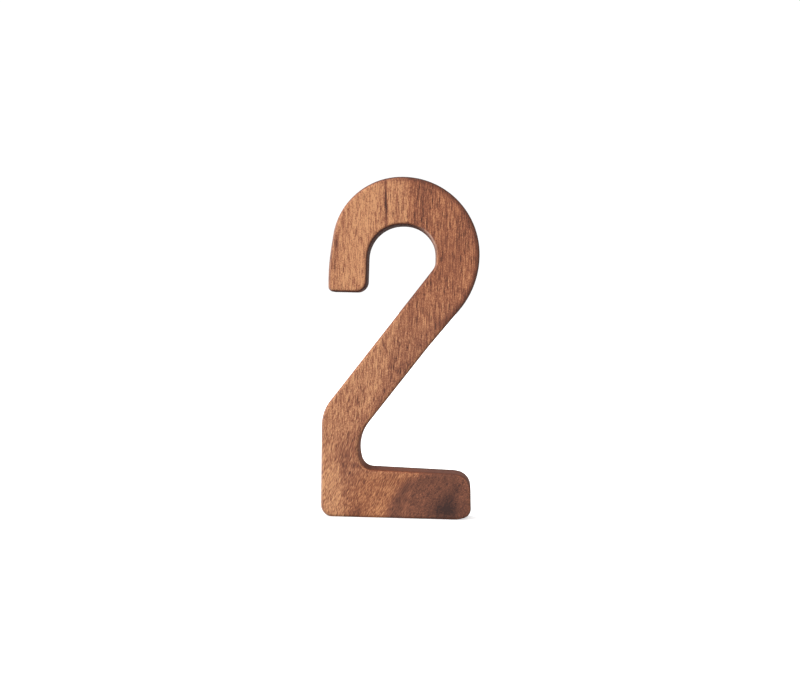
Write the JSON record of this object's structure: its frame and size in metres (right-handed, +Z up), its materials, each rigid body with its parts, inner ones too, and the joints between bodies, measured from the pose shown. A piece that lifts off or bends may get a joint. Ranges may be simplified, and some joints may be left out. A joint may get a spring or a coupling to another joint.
{
  "type": "table number",
  "caption": "Flat walnut numeral 2 that stands on its foot as a table number, with foam tape pads under peel-off liners on its back.",
  "frame": {"origin": "centre of the flat underside of the numeral's foot, which stands on the table", "axes": "+Z up along the numeral's height, +Y from its front face to its back, +X to the reader's right"},
  "size_m": [0.0362, 0.0111, 0.08],
  "materials": {
    "walnut": "matte",
    "foam_tape": "matte",
    "release_liner": "satin"
  },
  "bodies": {
    "board": {"numeral": "walnut", "upper_tape_pad": "foam_tape", "diagonal_tape_pad": "foam_tape", "foot_tape_pad": "foam_tape"},
    "upper_liner": {"upper_liner": "release_liner"},
    "diagonal_liner": {"diagonal_liner": "release_liner"},
    "foot_liner": {"foot_liner": "release_liner"}
  },
  "joints": [
    {"name": "upper_liner_peel", "type": "slide", "parent": "board", "child": "upper_liner", "axis": [0, 1, 0], "range_m": [0, 0.02]},
    {"name": "diagonal_liner_peel", "type": "slide", "parent": "board", "child": "diagonal_liner", "axis": [0, 1, 0], "range_m": [0, 0.02]},
    {"name": "foot_liner_peel", "type": "slide", "parent": "board", "child": "foot_liner", "axis": [0, 1, 0], "range_m": [0, 0.02]}
  ]
}
